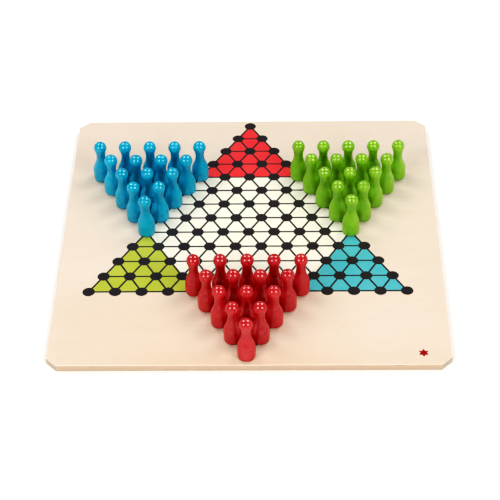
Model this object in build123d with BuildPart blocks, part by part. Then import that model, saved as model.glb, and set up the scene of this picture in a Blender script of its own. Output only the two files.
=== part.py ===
from build123d import *
from math import atan2, degrees, hypot, radians, sin, sqrt
import os

os.makedirs("parts", exist_ok=True)

# A Chinese checkers set: a square wooden board printed with a six-pointed star of 121 dots, and three
# sets of fifteen turned pawns that stand loose on the dots of three of the star's points.
# Millimetres. The origin is at the middle of the board's underside, +Z up, +Y towards the far edge,
# so the star has one point at the far edge and one at the near edge.

# ---------------------------------------------------------------- driving dimensions
dot_spacing = 20.0          # from one dot to the next along a line of the net
edge_margin = 8.2           # mean distance from the outermost dots' centres to the far and near edges
board_thickness = 6.0
corner_cut = 8.0            # length cut off each edge at a corner, at 45 degrees
arris_round = 0.5           # eased top and bottom arrises of the panel

ink_thickness = 0.05
dot_diameter = 9.4
line_width = 1.5
print_shift_x = -1.6        # the print sits a little off the panel's middle
print_shift_y = 1.0
mark_diameter = 8.0         # the small star printed near the corner
mark_inset_x = 20.6         # from the mark's centre to the right edge
mark_inset_y = 11.8         # and to the near edge

pawn_height = 36.3
head_diameter = 10.3
neck_diameter = 7.1
belly_diameter = 14.1
foot_diameter = 13.6
neck_drop = 13.5            # from the crown down to the narrowest point
belly_height = 8.0          # from the foot up to the widest point
foot_round = 1.3

# ---------------------------------------------------------------- the star's lattice
point_rows = 4              # rows of dots in one point of the star, outside its hexagon
row_pitch = dot_spacing * sqrt(3) / 2
star_reach = 2 * point_rows * row_pitch
board_side = 2 * (star_reach + edge_margin)
ink_level = board_thickness + ink_thickness

# Dots in the rows of a half star, from the middle row to the tip. The other half mirrors it.
row_dots = [9, 10, 11, 12, 13, 4, 3, 2, 1]
star_rows = [(row, dots) for row, dots in enumerate(row_dots)]
star_rows += [(-row, dots) for row, dots in enumerate(row_dots) if row]

# The directions from the centre to the star's points, in degrees from +X.
red_points = (90, 270)
lime_points = (30, 210)
turquoise_points = (150, 330)
camps = {"blue": 150, "green": 30, "red": 270}


def turned(x, y, angle):
    """The star's point (x, y), turned about the star's centre, as a place on the board."""
    point = Vector(x, y).rotate(Axis.Z, angle)
    return (point.X + print_shift_x, point.Y + print_shift_y)


def camp_dots(direction):
    """The fifteen dots of one point of the star, from its tip to the side it shares with the hexagon."""
    dots = []
    for row in range(point_rows + 1):
        for place in range(row + 1):
            along = star_reach - row * row_pitch
            across = (place - row / 2) * dot_spacing
            dots.append(turned(along, across, direction))
    return dots


# ---------------------------------------------------------------- the board
with BuildPart() as board:
    with BuildSketch() as panel_outline:
        Rectangle(board_side, board_side)
        chamfer(panel_outline.vertices(), length=corner_cut)
    extrude(amount=board_thickness)
    top_and_bottom = board.faces().filter_by(Axis.Z)
    fillet(top_and_bottom.edges(), radius=arris_round)
board.part.label = "board"
export_step(board.part, "parts/board.step")

# ---------------------------------------------------------------- the printed net
with BuildSketch(Plane.XY.offset(board_thickness)) as net:
    for turn in (0, 60, 120):
        for row, dots in star_rows:
            if dots > 1:
                with Locations(Location(turned(0, row * row_pitch, turn), turn)):
                    Rectangle((dots - 1) * dot_spacing, line_width)
    for row, dots in star_rows:
        with Locations(turned(0, row * row_pitch, 0)):
            with GridLocations(dot_spacing, dot_spacing, dots, 1):
                Circle(dot_diameter / 2)

with BuildPart() as black_net_print:
    add(net.sketch)
    extrude(amount=ink_thickness)
black_net_print.part.label = "black_net_print"
export_step(black_net_print.part, "parts/black_net_print.step")


# ---------------------------------------------------------------- the coloured fields
def fields_print(name, directions):
    """Two opposite points of the star, filled with colour between the lines of the net."""
    half_base = point_rows * dot_spacing / 2
    base = point_rows * row_pitch
    with BuildPart() as fields:
        with BuildSketch(Plane.XY.offset(board_thickness)):
            for direction in directions:
                corners = [(base, -half_base), (star_reach, 0), (base, half_base)]
                with BuildLine():
                    Polyline([turned(x, y, direction) for x, y in corners], close=True)
                make_face()
            add(net.sketch, mode=Mode.SUBTRACT)
        extrude(amount=ink_thickness)
    fields.part.label = name
    export_step(fields.part, f"parts/{name}.step")


fields_print("red_fields_print", red_points)
fields_print("lime_fields_print", lime_points)
fields_print("turquoise_fields_print", turquoise_points)

# ---------------------------------------------------------------- the corner mark
# A plain six-pointed star, made of two triangles that cross.
mark_place = (board_side / 2 - mark_inset_x, mark_inset_y - board_side / 2)
with BuildPart() as corner_mark_print:
    with BuildSketch(Plane.XY.offset(board_thickness)):
        with Locations(mark_place):
            RegularPolygon(mark_diameter / 2, 3, rotation=90)
            RegularPolygon(mark_diameter / 2, 3, rotation=270)
    extrude(amount=ink_thickness)
corner_mark_print.part.label = "corner_mark_print"
export_step(corner_mark_print.part, "parts/corner_mark_print.step")


# ---------------------------------------------------------------- the pawns
def turned_pawn(name, dot):
    """A skittle: a round head on a waisted neck, that swells through an S curve into a full belly."""
    neck_height = pawn_height - neck_drop
    head_radius = head_diameter / 2
    head_centre = pawn_height - head_radius
    belly_radius = belly_diameter / 2
    neck_radius = neck_diameter / 2

    # The belly leans in to the foot on one large arc, upright where the belly is widest.
    belly_lean = belly_radius - foot_diameter / 2
    belly_curve = (belly_height**2 + belly_lean**2) / (2 * belly_lean)
    belly_turn = degrees(atan2(belly_height, belly_curve - belly_lean))

    # Two equal arcs make the S between the belly and the neck, upright at both ends.
    s_height = neck_height - belly_height
    s_turn = 2 * degrees(atan2(belly_radius - neck_radius, s_height))
    s_curve = s_height / (2 * sin(radians(s_turn)))

    # The hollow above the neck is one arc that runs smoothly into the head's sphere.
    rise = head_centre - neck_height
    hollow_curve = (neck_radius**2 + rise**2 - head_radius**2) / (2 * (head_radius - neck_radius))
    hollow_turn = degrees(atan2(rise, neck_radius + hollow_curve))

    x, y = dot
    upright = Plane(origin=(x, y, ink_level), x_dir=(1, 0, 0), z_dir=(0, -1, 0))
    with BuildPart() as pawn:
        with BuildSketch(upright):
            with BuildLine():
                lower = JernArc((belly_radius, belly_height), (0, -1), belly_curve, -belly_turn)
                shoulder = JernArc((belly_radius, belly_height), (0, 1), s_curve, s_turn)
                waist = JernArc(shoulder @ 1, shoulder % 1, s_curve, -s_turn)
                hollow = JernArc(waist @ 1, (0, 1), hollow_curve, -hollow_turn)
                head = JernArc(hollow @ 1, hollow % 1, head_radius, 90 + hollow_turn)
                Polyline(head @ 1, (0, 0), lower @ 1)
            make_face()
        revolve(axis=Axis((x, y, 0), (0, 0, 1)))
        foot_edge = pawn.edges().group_by(Axis.Z)[0]
        fillet(foot_edge, radius=foot_round)
    pawn.part.label = name
    export_step(pawn.part, f"parts/{name}.step")


for colour, direction in camps.items():
    for number, dot in enumerate(camp_dots(direction), start=1):
        turned_pawn(f"{colour}_pawn_{number:02d}", dot)
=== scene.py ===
import math
import random

import bmesh
import bpy
from mathutils import Matrix, Vector


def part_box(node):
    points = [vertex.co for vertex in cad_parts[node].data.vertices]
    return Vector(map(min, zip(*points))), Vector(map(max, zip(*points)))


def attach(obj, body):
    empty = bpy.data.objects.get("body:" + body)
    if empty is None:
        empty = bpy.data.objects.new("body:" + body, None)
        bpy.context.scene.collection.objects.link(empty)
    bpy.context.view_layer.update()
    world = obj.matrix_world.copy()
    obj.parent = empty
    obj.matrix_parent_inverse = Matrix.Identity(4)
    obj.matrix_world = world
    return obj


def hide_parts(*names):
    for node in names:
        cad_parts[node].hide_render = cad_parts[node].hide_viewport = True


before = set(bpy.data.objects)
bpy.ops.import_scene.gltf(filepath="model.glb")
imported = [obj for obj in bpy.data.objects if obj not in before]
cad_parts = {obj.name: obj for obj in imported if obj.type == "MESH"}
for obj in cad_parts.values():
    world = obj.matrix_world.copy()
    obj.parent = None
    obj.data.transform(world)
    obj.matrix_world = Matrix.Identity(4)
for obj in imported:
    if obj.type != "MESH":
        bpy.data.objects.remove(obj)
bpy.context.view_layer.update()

scene = bpy.context.scene
MM = 0.001
STAR_CENTRE = sum((Vector(corner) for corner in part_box("black_net_print")), Vector()) / 2


# ---------------------------------------------------------------- colours and nodes
def linear(red, green, blue):
    """A colour given as it is seen on a screen, 0 to 255, as linear light with alpha."""
    def channel(value):
        value /= 255
        return value / 12.92 if value <= 0.04045 else ((value + 0.055) / 1.055) ** 2.4
    return (channel(red), channel(green), channel(blue), 1)


class Nodes:
    """Short calls for the nodes of one material."""

    def __init__(self, name):
        self.material = bpy.data.materials.new(name)
        self.material.use_nodes = True
        self.tree = self.material.node_tree
        self.tree.nodes.clear()
        output = self.add("ShaderNodeOutputMaterial")
        self.shader = self.add("ShaderNodeBsdfPrincipled")
        self.tree.links.new(self.shader.outputs[0], output.inputs["Surface"])

    def add(self, kind, **settings):
        node = self.tree.nodes.new(kind)
        for key, value in settings.items():
            setattr(node, key, value)
        return node

    def put(self, value, socket):
        """Links an output to a socket, or sets the socket's own value."""
        if isinstance(value, bpy.types.NodeSocket):
            self.tree.links.new(value, socket)
        else:
            socket.default_value = value

    def math(self, operation, first, second=0.0):
        node = self.add("ShaderNodeMath", operation=operation)
        self.put(first, node.inputs[0])
        self.put(second, node.inputs[1])
        return node.outputs[0]

    def coordinates(self, scale=(1, 1, 1)):
        """The piece's own coordinates in metres, times scale."""
        place = self.add("ShaderNodeTexCoord").outputs["Object"]
        mapping = self.add("ShaderNodeMapping")
        self.put(place, mapping.inputs["Vector"])
        mapping.inputs["Scale"].default_value = scale
        return mapping.outputs[0]

    def split(self, vector):
        """The three parts of a vector."""
        node = self.add("ShaderNodeSeparateXYZ")
        self.put(vector, node.inputs[0])
        return node.outputs[0], node.outputs[1], node.outputs[2]

    def noise(self, vector, scale=1.0, detail=3.0, roughness=0.5, distortion=0.0):
        node = self.add("ShaderNodeTexNoise")
        self.put(vector, node.inputs["Vector"])
        node.inputs["Scale"].default_value = scale
        node.inputs["Detail"].default_value = detail
        node.inputs["Roughness"].default_value = roughness
        node.inputs["Distortion"].default_value = distortion
        return node.outputs["Fac"]

    def fit(self, value, low, high, to_low=0.0, to_high=1.0):
        """value moved from the range low..high to the range to_low..to_high, and kept inside it."""
        node = self.add("ShaderNodeMapRange", interpolation_type="SMOOTHSTEP")
        self.put(value, node.inputs["Value"])
        for name, number in zip(("From Min", "From Max", "To Min", "To Max"), (low, high, to_low, to_high)):
            node.inputs[name].default_value = number
        return node.outputs[0]

    def mix(self, factor, first, second):
        node = self.add("ShaderNodeMix", data_type="RGBA")
        sockets = {socket.identifier: socket for socket in node.inputs}
        self.put(factor, sockets["Factor_Float"])
        self.put(first, sockets["A_Color"])
        self.put(second, sockets["B_Color"])
        return next(socket for socket in node.outputs if socket.identifier == "Result_Color")

    def bump(self, height, distance, strength=1.0):
        node = self.add("ShaderNodeBump")
        self.put(height, node.inputs["Height"])
        node.inputs["Distance"].default_value = distance
        node.inputs["Strength"].default_value = strength
        return node.outputs[0]

    def finish(self, **sockets):
        for name, value in sockets.items():
            self.put(value, self.shader.inputs[name.replace("_", " ")])
        return self.material


# ---------------------------------------------------------------- the wood of the board
PALE_WOOD = linear(235, 220, 203)
FIGURED_WOOD = linear(230, 212, 190)
CLOUDED_WOOD = linear(231, 213, 191)
BOUNCE_SHADE_WOOD = linear(228, 203, 173)
HEXAGON_WOOD = linear(252, 250, 233)
FIBRE_WOOD = linear(210, 188, 160)
PORE_WOOD = linear(184, 152, 118)
EDGE_WOOD_SHADED_LOW = linear(192, 168, 144)
EDGE_WOOD_HIGH = linear(205, 175, 149)
EDGE_LAYER_WOOD = linear(196, 166, 134)
END_PORE_WOOD = linear(182, 150, 116)
CORNER_WOOD = linear(188, 175, 158)
ARRIS_HIGHLIGHT_WOOD = linear(250, 232, 208)
# Where along X the painted shade and red bounce light are strongest.
BOUNCE_SHADE_MIDDLE = -40 * MM          # where along X the panel is warmest
HEXAGON_REACH = 69.3 * MM       # from the star's centre to the hexagon's sides
SOFT_BORDER = 0.3 * MM


def board_wood():
    n = Nodes("pale_panel_wood")
    x, y, z = n.split(n.coordinates())
    facing_x, facing_y, facing_z = n.split(n.add("ShaderNodeNewGeometry").outputs["True Normal"])

    # Grain runs along X: slow figure, fine fibres and short darker pores.
    figure = n.noise(n.coordinates((2.2, 34, 34)), 1.0, 4, 0.55, 0.6)
    fibres = n.noise(n.coordinates((36, 2200, 2200)), 1.0, 2, 0.6)
    pores = n.noise(n.coordinates((150, 2600, 2600)), 1.0, 1, 0.4)
    clouds = n.noise(n.coordinates((9, 9, 9)), 1.0, 3, 0.5)
    colour = n.mix(n.fit(figure, 0.3, 0.75, 0.0, 0.6), PALE_WOOD, FIGURED_WOOD)
    colour = n.mix(n.fit(clouds, 0.35, 0.75, 0.0, 0.5), colour, CLOUDED_WOOD)
    # Painted shade and red bounce light: the panel is darker and warmer in its near part, left of the
    # middle, and in a band along the near edge.
    aside = n.math("ABSOLUTE", n.math("SUBTRACT", x, BOUNCE_SHADE_MIDDLE))
    bounce_shade = n.math("MULTIPLY", n.fit(y, -0.085, -0.035, 0.4, 0.0), n.fit(aside, 0.07, 0.14, 1.0, 0.0))
    edge_bounce_shade = n.math("MULTIPLY", n.fit(y, -0.146, -0.118, 0.4, 0.0), n.fit(x, -0.11, -0.05))
    colour = n.mix(n.math("ADD", bounce_shade, edge_bounce_shade), colour, BOUNCE_SHADE_WOOD)
    # The ground of the star's hexagon is a little whiter.
    star_x = n.math("SUBTRACT", x, STAR_CENTRE.x)
    star_y = n.math("SUBTRACT", y, STAR_CENTRE.y)
    reach = n.math("ABSOLUTE", star_y)
    for turn in (math.pi / 6, -math.pi / 6):
        slanted = n.math("ADD", n.math("MULTIPLY", star_x, math.cos(turn)),
                         n.math("MULTIPLY", star_y, math.sin(turn)))
        reach = n.math("MAXIMUM", reach, n.math("ABSOLUTE", slanted))
    ground = n.fit(reach, HEXAGON_REACH - SOFT_BORDER, HEXAGON_REACH + SOFT_BORDER, 1.0, 0.0)
    colour = n.mix(n.math("MULTIPLY", ground, 0.75), colour, HEXAGON_WOOD)
    colour = n.mix(n.fit(fibres, 0.35, 0.75, 0.0, 0.15), colour, FIBRE_WOOD)
    colour = n.mix(n.fit(pores, 0.66, 0.78, 0.0, 0.24), colour, PORE_WOOD)

    # The sawn edges are darker and warmer, and greyer where a corner is cut across the grain; towards
    # the bottom they carry painted shade. The arris along their tops and bottoms is pale: a sanded tone
    # with a painted highlight.
    across = n.math("ABSOLUTE", facing_x)
    along = n.math("ABSOLUTE", facing_y)
    upright = n.math("ABSOLUTE", facing_z)
    edge = n.fit(upright, 0.1, 0.5, 1.0, 0.0)
    corner = n.fit(n.math("MULTIPLY", across, along), 0.2, 0.45)
    # Painted shade: the edge colour grows darker towards the bottom, where the floor shades it.
    level = n.fit(z, 0.5 * MM, 5.5 * MM)
    layers = n.noise(n.coordinates((14, 14, 700)), 1.0, 2, 0.5)
    end_pores = n.noise(n.coordinates((500, 500, 900)), 1.0, 2, 0.6)
    edge_colour = n.mix(level, EDGE_WOOD_SHADED_LOW, EDGE_WOOD_HIGH)
    edge_colour = n.mix(n.fit(layers, 0.35, 0.7, 0.0, 0.2), edge_colour, EDGE_LAYER_WOOD)
    edge_colour = n.mix(n.fit(end_pores, 0.5, 0.75, 0.0, 0.35), edge_colour, END_PORE_WOOD)
    edge_colour = n.mix(n.math("MULTIPLY", corner, 0.8), edge_colour, CORNER_WOOD)
    # Painted highlight along the rounded arris, over its sanded pale tone.
    arris_highlight = n.math("MULTIPLY", n.fit(upright, 0.15, 0.4), n.fit(upright, 0.9, 0.99, 1.0, 0.0))
    colour = n.mix(edge, colour, edge_colour)
    colour = n.mix(n.math("MULTIPLY", arris_highlight, 0.8), colour, ARRIS_HIGHLIGHT_WOOD)

    sheen = n.fit(n.noise(n.coordinates((60, 400, 400)), 1.0, 3), 0.3, 0.7, 0.38, 0.5)
    rough = n.math("ADD", sheen, n.math("MULTIPLY", edge, 0.15))
    relief = n.math("ADD", n.math("MULTIPLY", fibres, 0.6), n.math("MULTIPLY", pores, -0.4))
    normal = n.bump(relief, 0.04 * MM, 0.5)
    return n.finish(Base_Color=colour, Roughness=rough, Normal=normal)


# ---------------------------------------------------------------- the screen-printed ink
def ink(name, colour, thin_colour):
    """Ink with a fine mesh-like unevenness, a little thinner in patches so the grain shows through."""
    n = Nodes(name)
    patches = n.noise(n.coordinates((60, 60, 60)), 1.0, 3, 0.6)
    fibres = n.noise(n.coordinates((40, 2200, 2200)), 1.0, 2, 0.6)
    specks = n.noise(n.coordinates((2400, 2400, 2400)), 1.0, 1, 0.5)
    thin = n.math("ADD", n.fit(patches, 0.4, 0.75, 0.0, 0.35), n.fit(fibres, 0.5, 0.75, 0.0, 0.3))
    shade = n.mix(thin, colour, thin_colour)
    rough = n.fit(patches, 0.3, 0.7, 0.42, 0.52)
    normal = n.bump(n.math("ADD", n.math("MULTIPLY", fibres, 0.5), n.math("MULTIPLY", specks, 0.5)),
                    0.015 * MM, 0.5)
    return n.finish(Base_Color=shade, Roughness=rough, Normal=normal)


# ---------------------------------------------------------------- the paint of the pawns
DEEP_LEVEL = 24 * MM        # where the paint gathers, just above the neck's narrowest point


def pawn_paint(name, colour, deep_paint_and_shade, thin):
    """Glossy dipped paint over turned wood: deep where it gathers, thin over grain, rings and scuffs, and
    darkened at the foot as painted shade.
    """
    n = Nodes(name)
    chance = n.add("ShaderNodeObjectInfo").outputs["Random"]
    local = n.coordinates()
    # Each pawn gets its own place in the patterns.
    shift = n.add("ShaderNodeCombineXYZ")
    n.put(n.math("MULTIPLY", chance, 0.37), shift.inputs[0])
    n.put(n.math("MULTIPLY", chance, 0.73), shift.inputs[2])
    moved = n.add("ShaderNodeVectorMath", operation="ADD")
    n.put(local, moved.inputs[0])
    n.put(shift.outputs[0], moved.inputs[1])

    def stretched(x, y, z):
        node = n.add("ShaderNodeVectorMath", operation="MULTIPLY")
        n.put(moved.outputs[0], node.inputs[0])
        node.inputs[1].default_value = (x, y, z)
        return node.outputs[0]

    z = n.split(local)[2]
    from_neck = n.math("ABSOLUTE", n.math("SUBTRACT", z, DEEP_LEVEL))
    neck = n.fit(from_neck, 1.0 * MM, 7.0 * MM, 1.0, 0.0)
    foot = n.fit(z, 0.4 * MM, 2.2 * MM, 1.0, 0.0)
    grain = n.noise(stretched(900, 900, 70), 1.0, 3, 0.6)
    rings = n.noise(stretched(60, 60, 1500), 1.0, 2, 0.5)
    drops = n.noise(stretched(260, 260, 260), 1.0, 2, 0.5)
    peel = n.noise(stretched(1500, 1500, 1500), 1.0, 2, 0.5)

    shade = n.mix(n.math("MULTIPLY", neck, 0.35), colour, deep_paint_and_shade)
    shade = n.mix(n.fit(drops, 0.35, 0.7, 0.0, 0.3), shade, deep_paint_and_shade)
    shade = n.mix(n.fit(grain, 0.5, 0.8, 0.0, 0.25), shade, thin)
    shade = n.mix(n.fit(rings, 0.55, 0.8, 0.0, 0.15), shade, thin)
    scuff = n.math("MULTIPLY", foot, n.fit(drops, 0.55, 0.62))
    # Painted shade: a dark band at the foot, where the contact shadow falls.
    shade = n.mix(n.math("MULTIPLY", foot, 0.6), shade, deep_paint_and_shade)
    shade = n.mix(n.math("MULTIPLY", scuff, 0.4), shade, thin)
    tint = n.add("ShaderNodeHueSaturation")
    n.put(shade, tint.inputs["Color"])
    n.put(n.math("ADD", 0.93, n.math("MULTIPLY", chance, 0.14)), tint.inputs["Value"])

    rough = n.fit(drops, 0.3, 0.7, 0.08, 0.12)
    relief = n.math("ADD", n.math("MULTIPLY", grain, 0.5), n.math("MULTIPLY", rings, 0.35))
    relief = n.math("ADD", relief, n.math("MULTIPLY", peel, 0.35))
    normal = n.bump(relief, 0.01 * MM)
    return n.finish(Base_Color=tint.outputs[0], Roughness=rough, Normal=normal)


# ---------------------------------------------------------------- the pawns' turned shape
PAWN_HEIGHT = 36.3 * MM
HEAD_RADIUS = 5.15 * MM
NECK_RADIUS = 3.55 * MM
NECK_HEIGHT = 22.8 * MM
BELLY_RADIUS = 7.05 * MM
BELLY_HEIGHT = 8.0 * MM
FOOT_RADIUS = 6.8 * MM
FOOT_ROUND = 1.3 * MM
AROUND = 72                 # faces round a pawn


def arc(centre, radius, start, end, steps):
    """Points (radius, height) along an arc; angles in radians from the outward direction."""
    turns = [start + (end - start) * step / steps for step in range(steps + 1)]
    return [(centre[0] + radius * math.cos(t), centre[1] + radius * math.sin(t)) for t in turns]


def pawn_profile(head, neck, belly, height):
    """The skittle's outline from the middle of its foot to its crown, made of arcs that meet smoothly."""
    foot = FOOT_RADIUS * belly / BELLY_RADIUS
    points = [(0.0, 0.0), (0.5 * foot, 0.0)]
    points += arc((foot - FOOT_ROUND, FOOT_ROUND), FOOT_ROUND, -math.pi / 2, -0.08, 7)
    for step in range(1, 7):
        level = FOOT_ROUND + (BELLY_HEIGHT - FOOT_ROUND) * step / 7
        rest = 1 - level / BELLY_HEIGHT
        points.append((belly - (belly - foot) * rest**2, level))
    s_height = NECK_HEIGHT - BELLY_HEIGHT
    turn = 2 * math.atan2(belly - neck, s_height)
    bend = s_height / (2 * math.sin(turn))
    points += arc((belly - bend, BELLY_HEIGHT), bend, 0, turn, 10)
    points += arc((neck + bend, NECK_HEIGHT), bend, math.pi + turn, math.pi, 10)[1:]
    centre = height - head
    rise = centre - NECK_HEIGHT
    hollow = (neck**2 + rise**2 - head**2) / (2 * (head - neck))
    turn = math.atan2(rise, neck + hollow)
    points += arc((neck + hollow, NECK_HEIGHT), hollow, math.pi, math.pi - turn, 8)[1:]
    points += arc((0.0, centre), head, -turn, math.pi / 2, 18)[1:]
    return points


def pawn_mesh(name, chance):
    """A turned skittle, each a hair different from the next, as hand-fed turning leaves them."""
    head = HEAD_RADIUS * chance.uniform(0.985, 1.0)
    neck = NECK_RADIUS * chance.uniform(0.96, 1.05)
    belly = BELLY_RADIUS * chance.uniform(0.975, 1.0)
    height = PAWN_HEIGHT * chance.uniform(0.985, 1.0)
    mesh = bpy.data.meshes.new(name)
    work = bmesh.new()
    loops = []
    for radius, level in pawn_profile(head, neck, belly, height)[1:-1]:
        loop = []
        for step in range(AROUND):
            angle = math.tau * step / AROUND
            loop.append(work.verts.new((radius * math.cos(angle), radius * math.sin(angle), level)))
        loops.append(loop)
    for low, high in zip(loops, loops[1:]):
        for step in range(AROUND):
            after = (step + 1) % AROUND
            work.faces.new((low[step], low[after], high[after], high[step]))
    sole = work.verts.new((0, 0, 0))
    crown = work.verts.new((0, 0, height))
    for step in range(AROUND):
        after = (step + 1) % AROUND
        work.faces.new((sole, loops[0][after], loops[0][step]))
        work.faces.new((crown, loops[-1][step], loops[-1][after]))
    for face in work.faces:
        face.smooth = True
    work.to_mesh(mesh)
    work.free()
    return mesh


pawns = bpy.data.collections.new("pawns")


def add_pawns(colour, material):
    """One turned pawn for each of a colour's CAD pawns, standing where that one stands."""
    for node in sorted(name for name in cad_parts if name.startswith(colour + "_pawn_")):
        low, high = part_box(node)
        chance = random.Random(node)
        name = node.replace("pawn", "turned_pawn")
        pawn = bpy.data.objects.new(name, pawn_mesh(name, chance))
        scene.collection.objects.link(pawn)
        pawns.objects.link(pawn)
        pawn.location = ((low[0] + high[0]) / 2, (low[1] + high[1]) / 2, low[2])
        bpy.context.view_layer.update()
        pawn.data.materials.append(material)
        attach(pawn, node)
        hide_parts(node)


# ---------------------------------------------------------------- materials on the CAD pieces
def cover(node, material):
    """Gives a CAD piece a better material in place of its own."""
    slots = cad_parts[node].data.materials
    slots.clear()
    slots.append(material)


# Each printed piece's material, its colour and its colour where the ink is thin.
INKS = {
    "black_net_print": ("black_print", (56, 52, 54), (68, 63, 61)),
    "red_fields_print": ("red_print", (236, 70, 75), (238, 94, 92)),
    "corner_mark_print": ("mark_print", (154, 24, 28), (174, 52, 50)),
    "lime_fields_print": ("lime_print", (181, 190, 78), (194, 200, 106)),
    "turquoise_fields_print": ("turquoise_print", (92, 180, 187), (122, 192, 195)),
}
cover("board", board_wood())
for node, (name, shade, thin_shade) in INKS.items():
    cover(node, ink(name, linear(*shade), linear(*thin_shade)))

PAINTS = {
    "blue": ((2, 160, 194), (0, 128, 166), (16, 176, 208)),
    "green": ((134, 184, 46), (104, 154, 32), (156, 200, 76)),
    "red": ((190, 50, 54), (160, 24, 35), (206, 84, 83)),
}
for colour, shades in PAINTS.items():
    add_pawns(colour, pawn_paint(colour + "_paint", *[linear(*shade) for shade in shades]))


# ---------------------------------------------------------------- camera, light and floor
AZIMUTH = math.radians(1.33)
ELEVATION = math.radians(40.89)
ROLL = math.radians(-1.16)
DISTANCE = 1.258
LENS = 116.8
board_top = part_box("board")[1][2]
aim = Vector((-0.3 * MM, -20.8 * MM, board_top))

towards = Vector((math.sin(AZIMUTH) * math.cos(ELEVATION),
                  -math.cos(AZIMUTH) * math.cos(ELEVATION),
                  math.sin(ELEVATION)))
right = (-towards).cross(Vector((0, 0, 1))).normalized()
up = right.cross(-towards)
rolled_right = right * math.cos(ROLL) + up * math.sin(ROLL)
rolled_up = up * math.cos(ROLL) - right * math.sin(ROLL)
camera_data = bpy.data.cameras.new("camera")
camera_data.lens = LENS
camera_data.sensor_width = 36
camera = bpy.data.objects.new("camera", camera_data)
facing = Matrix((rolled_right, rolled_up, towards)).transposed()
camera.matrix_world = Matrix.Translation(aim + towards * DISTANCE) @ facing.to_4x4()
scene.collection.objects.link(camera)
scene.camera = camera


def softbox(name, azimuth, elevation, distance, size, power):
    """A square lamp that looks at the board.

    Azimuth 0 is towards the viewer, and positive is to the right.
    """
    a, e = math.radians(azimuth), math.radians(elevation)
    way = Vector((math.sin(a) * math.cos(e), -math.cos(a) * math.cos(e), math.sin(e)))
    lamp = bpy.data.lights.new(name, "AREA")
    lamp.shape = "SQUARE"
    lamp.size = size
    lamp.energy = power
    holder = bpy.data.objects.new(name, lamp)
    facing_board = way.to_track_quat("Z", "Y").to_matrix().to_4x4()
    holder.matrix_world = Matrix.Translation(way * distance) @ facing_board
    scene.collection.objects.link(holder)
    return holder


# Four directions, each with a wide box that lights the scene and a small bright one that only shows
# as a glint in the pawns' gloss. For each end: azimuth and elevation in degrees, and the wide box's power.
LAMP_ENDS = {"front": (41, 33, 14.8), "back": (129, 54, 9.8)}
WIDE_DISTANCE = 1.8
WIDE_SIZE = 0.8
GLINT_DISTANCE = 1.6
GLINT_SIZE = 0.7
GLINT_POWER = 16
for side in (-1, 1):
    for end, (azimuth, elevation, power) in LAMP_ENDS.items():
        azimuth *= side
        wide = softbox(f"{end}_softbox_{side}", azimuth, elevation, WIDE_DISTANCE, WIDE_SIZE, power)
        wide.visible_glossy = False
        glint = softbox(f"{end}_glint_{side}", azimuth, elevation, GLINT_DISTANCE, GLINT_SIZE, GLINT_POWER)
        glint.visible_diffuse = False
        glint.light_linking.receiver_collection = pawns


def studio_world():
    """A white backdrop under a dark ceiling: it fills the shadows a little, and shows in glossy rims.

    Seen straight on, it is plain white.
    """
    world = bpy.data.worlds.new("studio")
    scene.world = world
    world.use_nodes = True
    tree = world.node_tree
    background = tree.nodes["Background"]
    background.inputs["Color"].default_value = (1, 1, 1, 1)
    direction = tree.nodes.new("ShaderNodeSeparateXYZ")
    tree.links.new(tree.nodes.new("ShaderNodeTexCoord").outputs["Generated"], direction.inputs[0])
    backdrop = tree.nodes.new("ShaderNodeMapRange")
    for name, number in (("From Min", 0.15), ("From Max", 0.6), ("To Min", 0.45), ("To Max", 0.06)):
        backdrop.inputs[name].default_value = number
    tree.links.new(direction.outputs[2], backdrop.inputs["Value"])
    strength = tree.nodes.new("ShaderNodeMix")
    light_path = tree.nodes.new("ShaderNodeLightPath")
    tree.links.new(light_path.outputs["Is Glossy Ray"], strength.inputs[0])
    strength.inputs[2].default_value = 0.15
    tree.links.new(backdrop.outputs[0], strength.inputs[3])
    seen = tree.nodes.new("ShaderNodeMix")
    tree.links.new(light_path.outputs["Is Camera Ray"], seen.inputs[0])
    tree.links.new(strength.outputs[0], seen.inputs[2])
    seen.inputs[3].default_value = 1.0
    tree.links.new(seen.outputs[0], background.inputs["Strength"])


studio_world()


FLOOR_RADIUS = 6


def add_floor():
    bpy.ops.mesh.primitive_circle_add(vertices=96, radius=FLOOR_RADIUS, fill_type="NGON")
    floor = bpy.context.object
    floor.name = "floor"
    n = Nodes("pale_floor")
    haze = n.noise(n.coordinates((3, 3, 3)), 1.0, 3, 0.5)
    colour = n.mix(n.fit(haze, 0.3, 0.7), linear(250, 250, 249), linear(247, 247, 246))
    # A faint glow, as of a sheet lit from behind, keeps the shadow beside the board light. Far from
    # the board it takes over from the lamps, so the sheet stays white to its edge.
    away = n.add("ShaderNodeVectorMath", operation="LENGTH")
    n.put(n.coordinates(), away.inputs[0])
    glow = n.fit(away.outputs["Value"], 0.5, 2.5, 0.12, 0.95)
    floor.data.materials.append(n.finish(Base_Color=colour, Roughness=0.8, Emission_Color=colour,
                                         Emission_Strength=glow))


add_floor()

# A print-like contrast: lights end in clear white, and the shades between the pawns go deep.
scene.view_settings.view_transform = "Standard"
scene.view_settings.use_curve_mapping = True
contrast = scene.view_settings.curve_mapping
contrast.black_level = (0.01, 0.01, 0.01)
contrast.white_level = (0.9, 0.9, 0.9)
for light, shown in ((0.03, 0.012), (0.12, 0.07), (0.36, 0.36)):
    contrast.curves[3].points.new(light, shown)
contrast.update()
